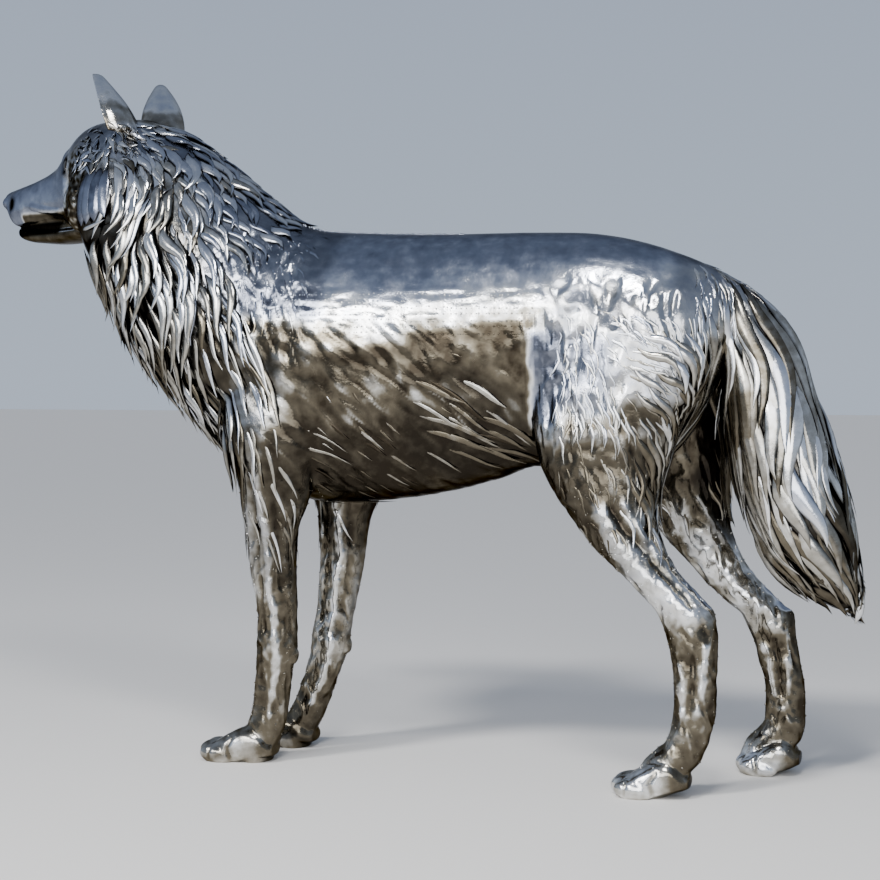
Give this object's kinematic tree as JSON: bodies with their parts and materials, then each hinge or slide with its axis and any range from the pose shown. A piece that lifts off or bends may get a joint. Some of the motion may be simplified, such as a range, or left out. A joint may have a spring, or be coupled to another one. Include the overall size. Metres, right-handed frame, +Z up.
{
  "type": "wolf sculpture",
  "caption": "Standing wolf sculpture in polished welded steel, its head turned a little and its coat carved in long locks.",
  "frame": {"origin": "on the ground under the middle of the wolf's bounding box", "axes": "the wolf looks along -X, its left side faces -Y, +Z is up; the paws' soles are Z = 0"},
  "size_m": [3.6428, 0.7276, 2.6837],
  "materials": {
    "polished_stainless": "polished welded stainless steel with grinding marks, weld specks and a little heat tint"
  },
  "bodies": {
    "root": {"wolf": "polished_stainless"}
  },
  "joints": []
}
